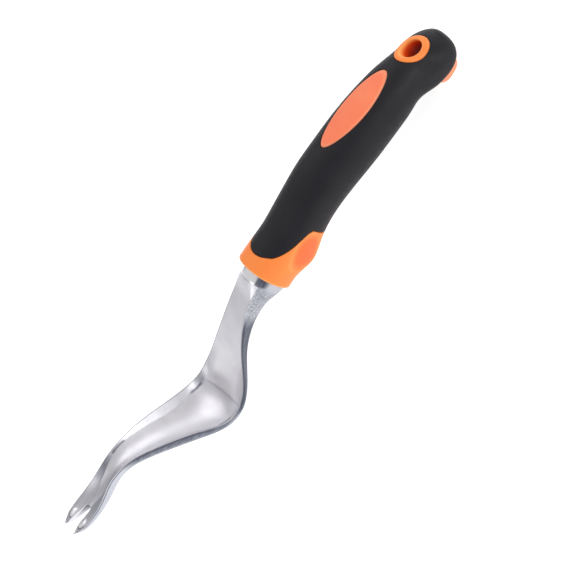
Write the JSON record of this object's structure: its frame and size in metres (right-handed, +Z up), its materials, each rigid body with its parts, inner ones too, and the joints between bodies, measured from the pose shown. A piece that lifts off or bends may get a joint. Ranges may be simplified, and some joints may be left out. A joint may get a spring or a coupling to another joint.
{
  "type": "hand weeder",
  "caption": "Curved hand weeder: cast light-metal head with a forked tip and a rounded heel, set in a two-colour grip with a thumb pad and a hang hole",
  "frame": {"origin": "centre of the bounding box in X and Y, at the plane on which the heel and the tail pad rest", "axes": "+X runs along the tool from the forked tip to the tail, +Z up through the thumb pad, +Y completes the right-handed frame; y = 0 is the plane of symmetry"},
  "size_m": [0.3276, 0.0382, 0.0532],
  "materials": {
    "cast_aluminium": "cast and tumble-polished, faintly mottled",
    "orange_plastic": "moulded, fine grain",
    "orange_rubber": "matte moulded elastomer",
    "black_rubber": "matte moulded elastomer with a soft sheen"
  },
  "bodies": {
    "root": {"weeder_head": "cast_aluminium", "handle_core": "orange_plastic", "grip_overmould": "black_rubber", "thumb_pad": "orange_rubber", "hang_hole_bush": "orange_plastic", "tail_pad": "orange_rubber"}
  },
  "joints": []
}
